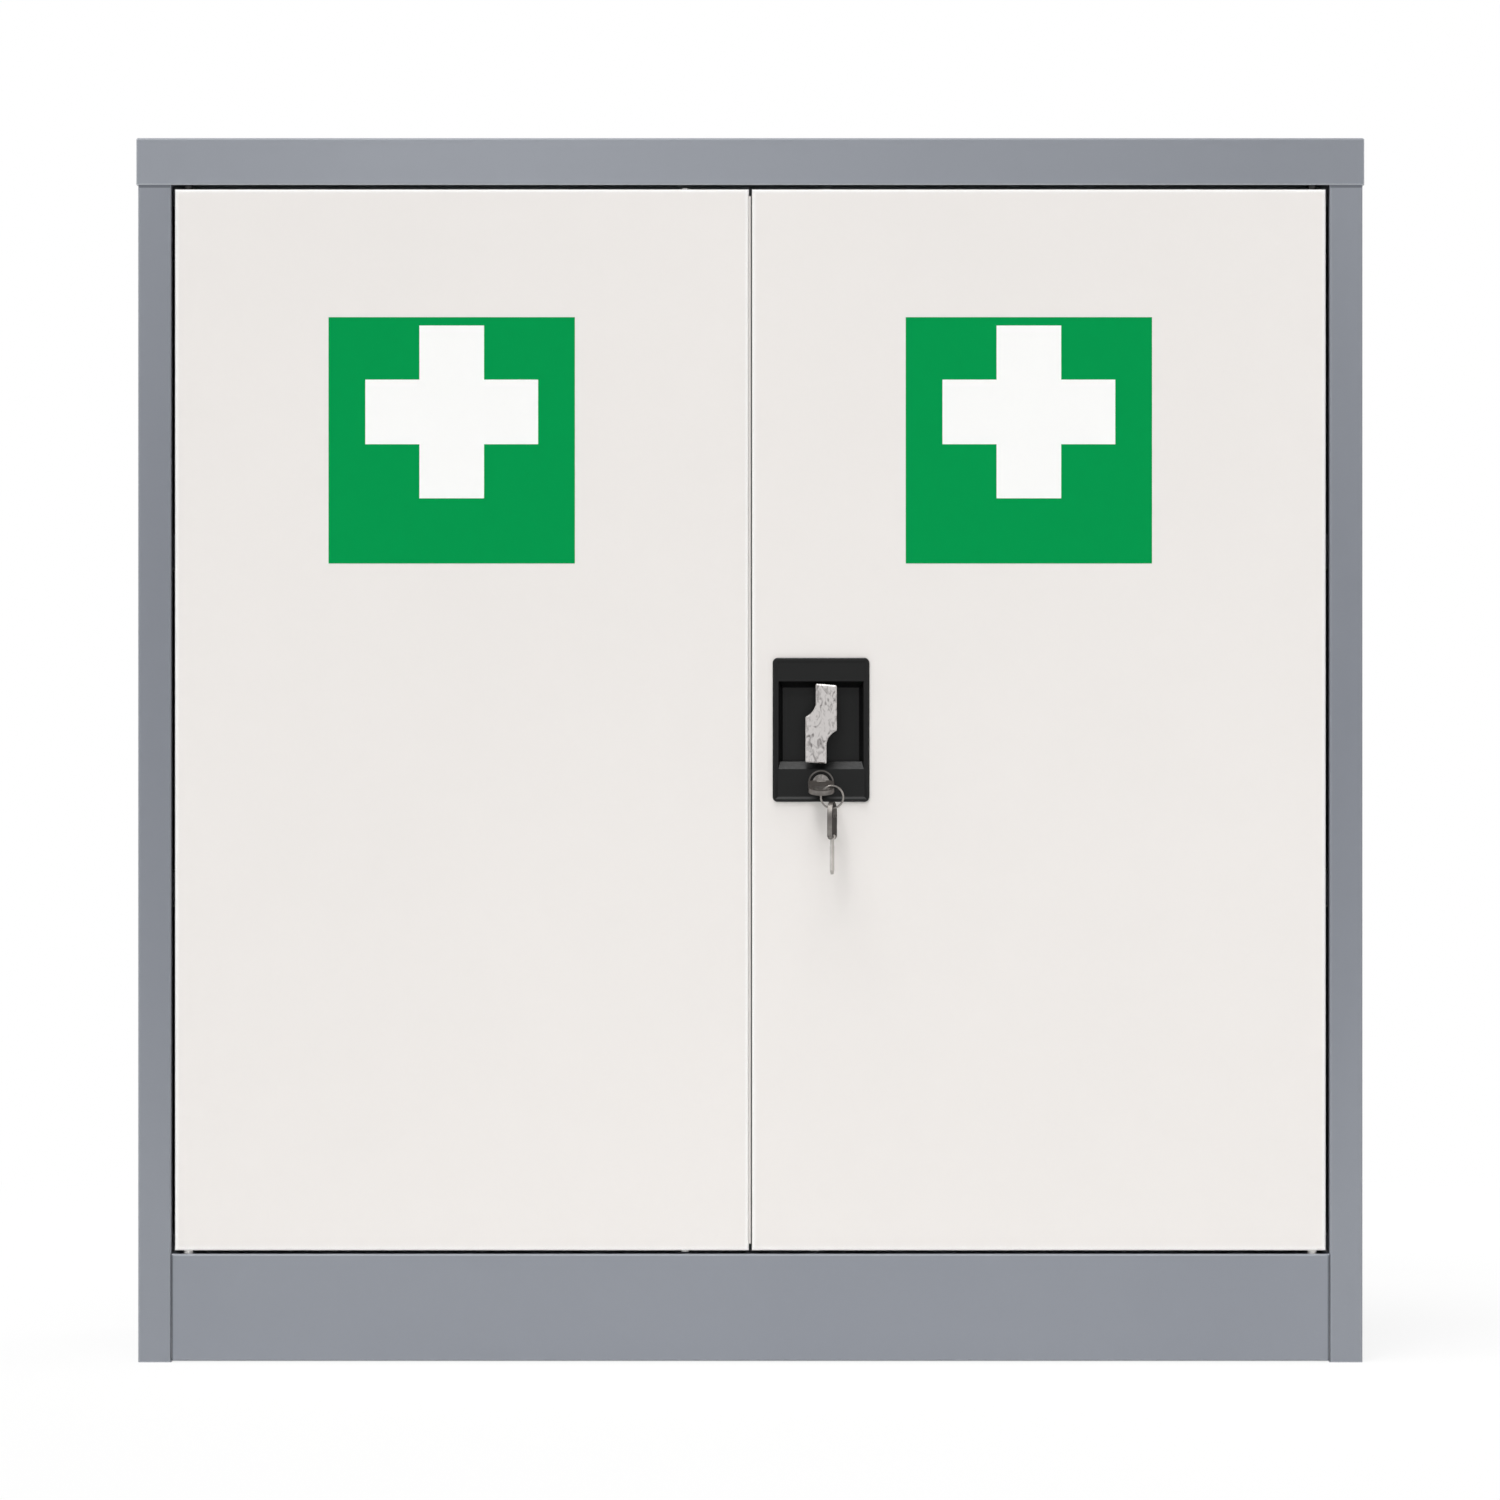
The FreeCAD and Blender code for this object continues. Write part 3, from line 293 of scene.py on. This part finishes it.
# 1 on the wide flat faces of a stamped piece, 0 on its edges
def onFlats(way, cosines):
    def mask(tree, place):
        facing = addNode(tree, "VectorMath", {"operation": "DOT_PRODUCT"}, {1: way},
                         {0: addNode(tree, "TexCoord").outputs["Normal"]})
        amount = addNode(tree, "Math", {"operation": "ABSOLUTE"}, {}, {0: facing.outputs["Value"]})
        flat = addNode(tree, "MapRange", {}, {"From Min": cosines[0], "From Max": cosines[1]},
                       {"Value": amount.outputs[0]})
        return flat.outputs[0]
    return mask


# 1 within a radius of an axis along y, 0 outside it
def roundAxis(middle, radiusMm):
    def mask(tree, place):
        away = addNode(tree, "VectorMath", {"operation": "SUBTRACT"}, {1: middle}, {0: place})
        across = addNode(tree, "VectorMath", {"operation": "MULTIPLY"}, {1: (1, 0, 1)}, {0: away.outputs[0]})
        distance = addNode(tree, "VectorMath", {"operation": "LENGTH"}, {}, {0: across.outputs[0]})
        inside = addNode(tree, "Math", {"operation": "LESS_THAN"}, {1: radiusMm * mm},
                         {0: distance.outputs["Value"]})
        return inside.outputs[0]
    return mask


def nickelPlate(name, look, paintedDarkMask=None):
    material, tree, surface, place = newMaterial(name, {"Metallic": 1.0})
    patch = addNode(tree, "TexNoise", {},
                    {"Scale": mmPerMetre / look["patchMm"], "Detail": look["patchDetail"]},
                    {"Vector": place})
    spread = addNode(tree, "MapRange", {},
                     {"From Min": look["patchSpan"][0], "From Max": look["patchSpan"][1]},
                     {"Value": patch.outputs[0]})
    colour = addNode(tree, "Mix", {"data_type": "RGBA"},
                     {colourA: linear(look["colour"]), colourB: linear(look["worn"])},
                     {0: spread.outputs[0]}).outputs[mixedColour]
    drawn = addNode(tree, "Mapping", {}, {"Scale": look["scratchStretch"]}, {"Vector": place})
    scratch = addNode(tree, "TexNoise", {},
                      {"Scale": mmPerMetre / look["scratchMm"], "Detail": look["scratchDetail"]},
                      {"Vector": drawn.outputs[0]})
    gloss = addNode(tree, "MapRange", {}, {"From Min": noiseSpan[0], "From Max": noiseSpan[1],
                                           "To Min": look["roughness"][0], "To Max": look["roughness"][1]},
                    {"Value": scratch.outputs[0]}).outputs[0]
    # painted dark: the dark reflection on the bow flats, the shade on the barrel face
    if paintedDarkMask:
        paintedDark = paintedDarkMask(tree, place)
        colour = addNode(tree, "Mix", {"data_type": "RGBA"}, {colourB: linear(look["paintedDark"])},
                         {0: paintedDark, colourA: colour}).outputs[mixedColour]
        gloss = addNode(tree, "Mix", {}, {numberB: look["paintedDarkRoughness"]},
                        {0: paintedDark, numberA: gloss}).outputs[mixedNumber]
        bright = addNode(tree, "Math", {"operation": "SUBTRACT"}, {0: 1.0}, {1: paintedDark})
        surface.inputs["Specular IOR Level"].default_value = look["paintedDarkSpecular"]
        tree.links.new(bright.outputs[0], surface.inputs["Metallic"])
    tree.links.new(colour, surface.inputs["Base Color"])
    tree.links.new(gloss, surface.inputs["Roughness"])
    return material


finish(nickelPlate("handledNickelPlate", nickelLook), "key_bow_pin", "key_ring", "spare_key_pin")
finish(nickelPlate("litBladeNickelPlate", litBladeLook), "spare_key_blade")
finish(nickelPlate("shadedBladeNickelPlate", shadedBladeLook), "key_blade")
finish(nickelPlate("plugNickelPlate", plugLook), "key_plug")
barrelMiddle = sum(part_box("lock_barrel"), Vector()) / 2
barrelFaceShade = roundAxis(barrelMiddle, shadedBarrelLook["faceMm"])
finish(nickelPlate("shadedBarrelNickelPlate", shadedBarrelLook, barrelFaceShade), "lock_barrel")
# the wide flats of the bows are drawn dark, a painted reflection
for bow, name in (("key_bow", "keyBowNickel"), ("spare_key_bow", "spareBowNickel")):
    widest = max(cadNodes[bow].data.polygons, key=lambda face: face.area)
    finish(nickelPlate(name, bowLook, onFlats(widest.normal.copy(), bowLook["flatCosines"])), bow)
print("metal finishes on the lock and keys")


# Moulded plastics and rubber: one colour through, with the grain of the mould
mould = {"detail": 2.0, "strength": 0.5}
plastics = {
    "blackAbs": {"colour": "#0C0D0D", "specular": 0.25, "roughness": (0.36, 0.48), "grainMm": 1.1,
                 "depthMm": 0.03, "nodes": ["lock_plate"]},
    "naturalNylon": {"colour": "#EDEBE7", "specular": 0.5, "roughness": (0.42, 0.52), "grainMm": 1.6,
                     "depthMm": 0.02, "nodes": ["rod_guides", "left_bolt_guides"]},
    # bushes: nylon below, near black above as painted shade
    "bushNylon": {"colour": "#F6F5F2", "above": "#1B1B1C", "changeMm": (440, 460), "specular": 0.5,
                  "roughness": (0.42, 0.52), "grainMm": 1.6, "depthMm": 0.02, "nodes": ["pivot_bushes"]},
    "palePvcStrip": {"colour": "#DAD6D3", "specular": 0.4, "roughness": (0.45, 0.55), "grainMm": 2.0,
                     "depthMm": 0.02, "nodes": ["left_meeting_strip"]},
    "mouldedRubber": {"colour": "#191919", "specular": 0.3, "roughness": (0.7, 0.85), "grainMm": 0.9,
                      "depthMm": 0.04, "nodes": ["door_buffers"]},
}


def mouldedPlastic(name, look):
    material, tree, surface, place = newMaterial(name, {"Base Color": linear(look["colour"]), "IOR": resinIor,
                                                         "Specular IOR Level": look["specular"]})
    grain = addNode(tree, "TexNoise", {}, {"Scale": mmPerMetre / look["grainMm"], "Detail": mould["detail"]},
                    {"Vector": place})
    gloss = addNode(tree, "MapRange", {}, {"From Min": noiseSpan[0], "From Max": noiseSpan[1],
                                           "To Min": look["roughness"][0], "To Max": look["roughness"][1]},
                    {"Value": grain.outputs[0]})
    bump = addNode(tree, "Bump", {}, {"Strength": mould["strength"], "Distance": look["depthMm"] * mm},
                   {"Height": grain.outputs[0]})
    tree.links.new(gloss.outputs[0], surface.inputs["Roughness"])
    tree.links.new(bump.outputs[0], surface.inputs["Normal"])
    # the bushes at the top of the cabinet are coloured near black, a painted shade for the dim top gap; those
    # at its foot keep the nylon's colour
    if "above" in look:
        height = addNode(tree, "SeparateXYZ", {}, {}, {0: place})
        high = addNode(tree, "MapRange", {},
                       {"From Min": look["changeMm"][0] * mm, "From Max": look["changeMm"][1] * mm},
                       {"Value": height.outputs["Z"]})
        tint = addNode(tree, "Mix", {"data_type": "RGBA"},
                       {colourA: linear(look["colour"]), colourB: linear(look["above"])},
                       {0: high.outputs[0]})
        tree.links.new(tint.outputs[mixedColour], surface.inputs["Base Color"])
    return material


for name, look in plastics.items():
    finish(mouldedPlastic(name, look), *look["nodes"])
print("plastics and rubber finished")


# Signs: a white cross on a green square, printed on vinyl film that is stuck on each door. The film is
# calendered: smooth, with a satin shine and slow ripples from the squeegee
sign = {"side": 181.0, "bottom": 587.2, "cross": 127.0, "bar": 47.5, "crossZ": 698.6, "thickness": 0.16,
        "leftX": -219.5, "rightX": 204.7, "green": "#00964C", "white": "#FCFCFB",
        "ior": 1.46, "specular": 0.05, "roughness": (0.3, 0.44),
        "rippleMm": 45, "rippleDetail": 2.0, "rippleDepthMm": 0.05, "rippleStrength": 0.4}


def printedVinyl(name, colour):
    material, tree, surface, place = newMaterial(name, {"Base Color": linear(colour), "IOR": sign["ior"],
                                                         "Specular IOR Level": sign["specular"]})
    ripple = addNode(tree, "TexNoise", {},
                     {"Scale": mmPerMetre / sign["rippleMm"], "Detail": sign["rippleDetail"]},
                     {"Vector": place})
    gloss = addNode(tree, "MapRange", {}, {"To Min": sign["roughness"][0], "To Max": sign["roughness"][1]},
                    {"Value": ripple.outputs[0]})
    bump = addNode(tree, "Bump", {},
                   {"Strength": sign["rippleStrength"], "Distance": sign["rippleDepthMm"] * mm},
                   {"Height": ripple.outputs[0]})
    tree.links.new(gloss.outputs[0], surface.inputs["Roughness"])
    tree.links.new(bump.outputs[0], surface.inputs["Normal"])
    return material


greenVinyl = printedVinyl("greenPrintedVinyl", sign["green"])
whiteVinyl = printedVinyl("whitePrintedVinyl", sign["white"])


def makeSign(name, middleX, body):
    half, arm, bar = sign["side"] / 2, sign["cross"] / 2, sign["bar"] / 2
    middleZ = sign["bottom"] + half
    columns = [middleX + x for x in (-half, -arm, -bar, bar, arm, half)]
    rows = [middleZ - half] + [sign["crossZ"] + z for z in (-arm, -bar, bar, arm)] + [middleZ + half]
    film = bmesh.new()
    y = doorFront - sign["thickness"] * mm
    grid = [[film.verts.new((x * mm, y, z * mm)) for x in columns] for z in rows]
    # of the five cells each way, the cross has the middle one and its neighbours in line with it
    cells, middle, arms = range(5), 2, (1, 2, 3)
    for row in cells:
        for column in cells:
            face = film.faces.new((grid[row][column], grid[row][column + 1], grid[row + 1][column + 1],
                                   grid[row + 1][column]))
            onCross = (column == middle and row in arms) or (row == middle and column in arms)
            face.material_index = 1 if onCross else 0
    rim = [edge for edge in film.edges if edge.is_boundary]
    grown = bmesh.ops.extrude_edge_only(film, edges=rim)["geom"]
    for vertex in [item for item in grown if isinstance(item, bmesh.types.BMVert)]:
        vertex.co.y = doorFront
    for face in [item for item in grown if isinstance(item, bmesh.types.BMFace)]:
        face.material_index = 0
    bmesh.ops.recalc_face_normals(film, faces=film.faces)
    mesh = bpy.data.meshes.new(name)
    film.to_mesh(mesh)
    mesh.materials.append(greenVinyl)
    mesh.materials.append(whiteVinyl)
    piece = bpy.data.objects.new(name, mesh)
    bpy.context.scene.collection.objects.link(piece)
    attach(piece, body)


makeSign("leftSign", sign["leftX"], "left_door")
makeSign("rightSign", sign["rightX"], "right_door")
print("signs stuck on both doors")


# Small fasteners: blind rivets along the rear flanges and crossed pan heads behind the lock. Each ring of a
# head is a radius and a height, in mm
headSides = 24
rivet = {"rings": [(3.2, 0.0), (3.2, 0.15), (2.9, 0.5), (2.2, 0.8), (1.3, 0.95), (1.1, 0.95), (1.0, 0.6)],
         "fromSide": 9.0, "fromEnd": 62.0, "perSide": 7}
panHead = {"rings": [(3.5, 0.0), (3.5, 0.7), (3.1, 1.3), (2.4, 1.7)], "crossRings": [(2.0, 1.7), (1.5, 0.7)],
           "slotHalf": 0.5, "fromSide": 5.0, "fromEnd": 6.0}
quarter = math.pi / 2
# a smaller turn than this from the middle of a cross's arm, in radians, counts as the middle
armMiddle = 0.01


# a turned head that stands towards the back, closed at both ends, with a cross sunk in it if one is given
def addHead(mesh, middle, rings, crossRings=(), slotHalf=0):
    loops = []
    for radius, rise in list(rings) + list(crossRings):
        crossed = (radius, rise) in crossRings
        loop = []
        for step in range(headSides):
            turn = math.tau * step / headSides
            fromArm = abs((turn + quarter / 2) % quarter - quarter / 2)
            reach = min(radius, slotHalf / math.sin(fromArm)) if crossed and fromArm > armMiddle else radius
            offset = Vector((math.cos(turn) * reach, rise, math.sin(turn) * reach)) * mm
            loop.append(mesh.verts.new(middle + offset))
        loops.append(loop)
    mesh.faces.new(loops[0])
    mesh.faces.new(loops[-1])
    for lower, upper in zip(loops, loops[1:]):
        for step in range(headSides):
            after = (step + 1) % headSides
            mesh.faces.new((lower[step], lower[after], upper[after], upper[step]))


def placeHeads(name, middles, body, **head):
    build = bmesh.new()
    for middle in middles:
        addHead(build, middle, **head)
    bmesh.ops.recalc_face_normals(build, faces=build.faces)
    mesh = bpy.data.meshes.new(name)
    build.to_mesh(mesh)
    mesh.materials.append(zinc)
    piece = bpy.data.objects.new(name, mesh)
    bpy.context.scene.collection.objects.link(piece)
    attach(piece, body)


sideLow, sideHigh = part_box("right_side_panel")
rivetX = sideHigh.x - rivet["fromSide"] * mm
rivetLow = sideLow.z + rivet["fromEnd"] * mm
rivetStep = (sideHigh.z - rivet["fromEnd"] * mm - rivetLow) / (rivet["perSide"] - 1)
placeHeads("rearRivets", [Vector((x, sideHigh.y, rivetLow + rivetStep * count)) for x in (-rivetX, rivetX)
                          for count in range(rivet["perSide"])], "carcass", rings=rivet["rings"])

plateLow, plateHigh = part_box("lock_back_plate")
screwXs = (plateLow.x + panHead["fromSide"] * mm, plateHigh.x - panHead["fromSide"] * mm)
screwZs = (plateLow.z + panHead["fromEnd"] * mm, plateHigh.z - panHead["fromEnd"] * mm)
placeHeads("lockScrews", [Vector((x, plateHigh.y, z)) for x in screwXs for z in screwZs], "right_door",
           rings=panHead["rings"], crossRings=panHead["crossRings"], slotHalf=panHead["slotHalf"])
print("rivets and lock screws placed")


# Stage: pale floor that keeps the shadow and reads white to the camera, white surroundings, soft lamps
stage = {"floorSize": 60.0, "floorColour": "#F4F4F3", "floorRoughness": 0.9, "floorSpecular": 0.0,
         "whiteNear": 0.84, "near": 0.7, "far": 2.4, "skyLight": 0.31}
floorMesh = bpy.data.meshes.new("floor")
reach = stage["floorSize"] / 2
corners = [(-reach, -reach, 0), (reach, -reach, 0), (reach, reach, 0), (-reach, reach, 0)]
floorMesh.from_pydata(corners, [], [(0, 1, 2, 3)])
floor = bpy.data.objects.new("floor", floorMesh)
bpy.context.scene.collection.objects.link(floor)


# 1 for what the camera, a reflection or a see-through piece shows, 0 for light that falls on the object
def seenDirectly(tree):
    path = addNode(tree, "LightPath").outputs
    either = addNode(tree, "Math", {"operation": "MAXIMUM"}, {},
                     {0: path["Is Camera Ray"], 1: path["Is Glossy Ray"]})
    seen = addNode(tree, "Math", {"operation": "MAXIMUM"}, {},
                   {0: either.outputs[0], 1: path["Is Transmission Ray"]})
    return seen.outputs[0]


floorMaterial = bpy.data.materials.new("paleFloor")
floorMaterial.use_nodes = True
tree = floorMaterial.node_tree
matte = tree.nodes["Principled BSDF"]
matte.inputs["Base Color"].default_value = linear(stage["floorColour"])
matte.inputs["Roughness"].default_value = stage["floorRoughness"]
matte.inputs["Specular IOR Level"].default_value = stage["floorSpecular"]
glow = addNode(tree, "Emission")
# the shadow shows near the object, and further off the floor is as white as the backdrop
place = addNode(tree, "TexCoord").outputs["Object"]
fromMiddle = addNode(tree, "VectorMath", {"operation": "LENGTH"}, {}, {0: place})
white = addNode(tree, "MapRange", {}, {"From Min": stage["near"], "From Max": stage["far"],
                                       "To Min": stage["whiteNear"]}, {"Value": fromMiddle.outputs["Value"]})
share = addNode(tree, "Math", {"operation": "MULTIPLY"}, {}, {0: seenDirectly(tree), 1: white.outputs[0]})
mixed = addNode(tree, "MixShader", {}, {}, {0: share.outputs[0], 1: matte.outputs[0], 2: glow.outputs[0]})
tree.links.new(mixed.outputs[0], tree.nodes["Material Output"].inputs["Surface"])
floorMesh.materials.append(floorMaterial)

world = bpy.data.worlds.new("surroundings")
bpy.context.scene.world = world
world.use_nodes = True
tree = world.node_tree
strength = addNode(tree, "MapRange", {}, {"To Min": stage["skyLight"], "To Max": 1.0},
                   {"Value": seenDirectly(tree)})
tree.links.new(strength.outputs[0], tree.nodes["Background"].inputs["Strength"])
tree.nodes["Background"].inputs["Color"].default_value = (1, 1, 1, 1)

# two soft lamps far enough off to light the whole front alike, one overhead and one on the left, and a fill
# behind. The spread is an angle in degrees for the two, and a width in metres for the fill
lamps = {
    "highLamp": {"kind": "SUN", "at": (-0.9, -2.2, 8.0), "strength": 1.72, "spread": 32},
    "leftLamp": {"kind": "SUN", "at": (-1.5, -6.1, 6.5), "strength": 0.9, "spread": 16},
    "backFill": {"kind": "AREA", "at": (1.6, 3.4, 2.6), "strength": 34, "spread": 2.4},
}
for name, lamp in lamps.items():
    light = bpy.data.lights.new(name, lamp["kind"])
    light.energy = lamp["strength"]
    if lamp["kind"] == "SUN":
        light.angle = math.radians(lamp["spread"])
    else:
        light.shape = "DISK"
        light.size = lamp["spread"]
    holder = bpy.data.objects.new(name, light)
    holder.location = lamp["at"]
    aim = Vector((0, 0, shot["middleZ"] * mm)) - Vector(lamp["at"])
    holder.rotation_euler = aim.to_track_quat("-Z", "Y").to_euler()
    bpy.context.scene.collection.objects.link(holder)
bpy.context.scene.view_settings.view_transform = "Standard"
print("stage and lamps set")
